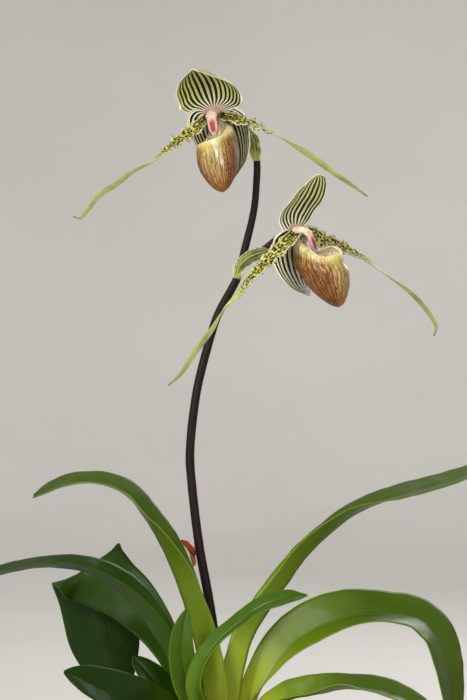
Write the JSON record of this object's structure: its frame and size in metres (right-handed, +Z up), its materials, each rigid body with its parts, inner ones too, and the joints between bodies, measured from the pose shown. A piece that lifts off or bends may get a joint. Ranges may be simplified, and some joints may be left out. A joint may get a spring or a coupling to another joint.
{
  "type": "slipper orchid plant",
  "caption": "Slipper orchid in a plain clay pot of bark: a fan of strap leaves and one tall dark stem with striped slipper-shaped flowers.",
  "frame": {"origin": "middle of the pot's flat underside, on the surface the pot stands on", "axes": "+Z up along the pot's axis, +X across the leaf fan to the right of the viewer, -Y towards the viewer"},
  "size_m": [0.3889, 0.1655, 0.5511],
  "materials": {
    "clay": "matte terracotta",
    "bark": "rough",
    "crown": "satin",
    "leaf": "glossy, leathery",
    "stem": "finely haired",
    "dry": "dry",
    "bract": "satin",
    "sepal": "satin",
    "petal": "satin",
    "lip": "waxy gloss",
    "column": "satin"
  },
  "bodies": {
    "root": {"pot": "clay", "bark": "bark", "crown": "crown", "stem": "stem", "sheath_bract": "dry", "leaf_upper_left": "leaf", "leaf_left": "leaf", "leaf_creased": "leaf", "leaf_small_upright": "leaf", "leaf_lower_left": "leaf", "leaf_short_shaded": "leaf", "leaf_slender_right": "leaf", "leaf_upper_right": "leaf", "leaf_arching_right": "leaf", "leaf_lower_right": "leaf", "upper_dorsal_sepal": "sepal", "upper_synsepal": "sepal", "upper_petal_left": "petal", "upper_petal_right": "petal", "upper_lip": "lip", "upper_column": "column", "upper_ovary": "stem", "upper_bract": "bract", "lower_dorsal_sepal": "sepal", "lower_synsepal": "sepal", "lower_petal_left": "petal", "lower_petal_right": "petal", "lower_lip": "lip", "lower_column": "column", "lower_ovary": "stem", "lower_bract": "bract"}
  },
  "joints": []
}
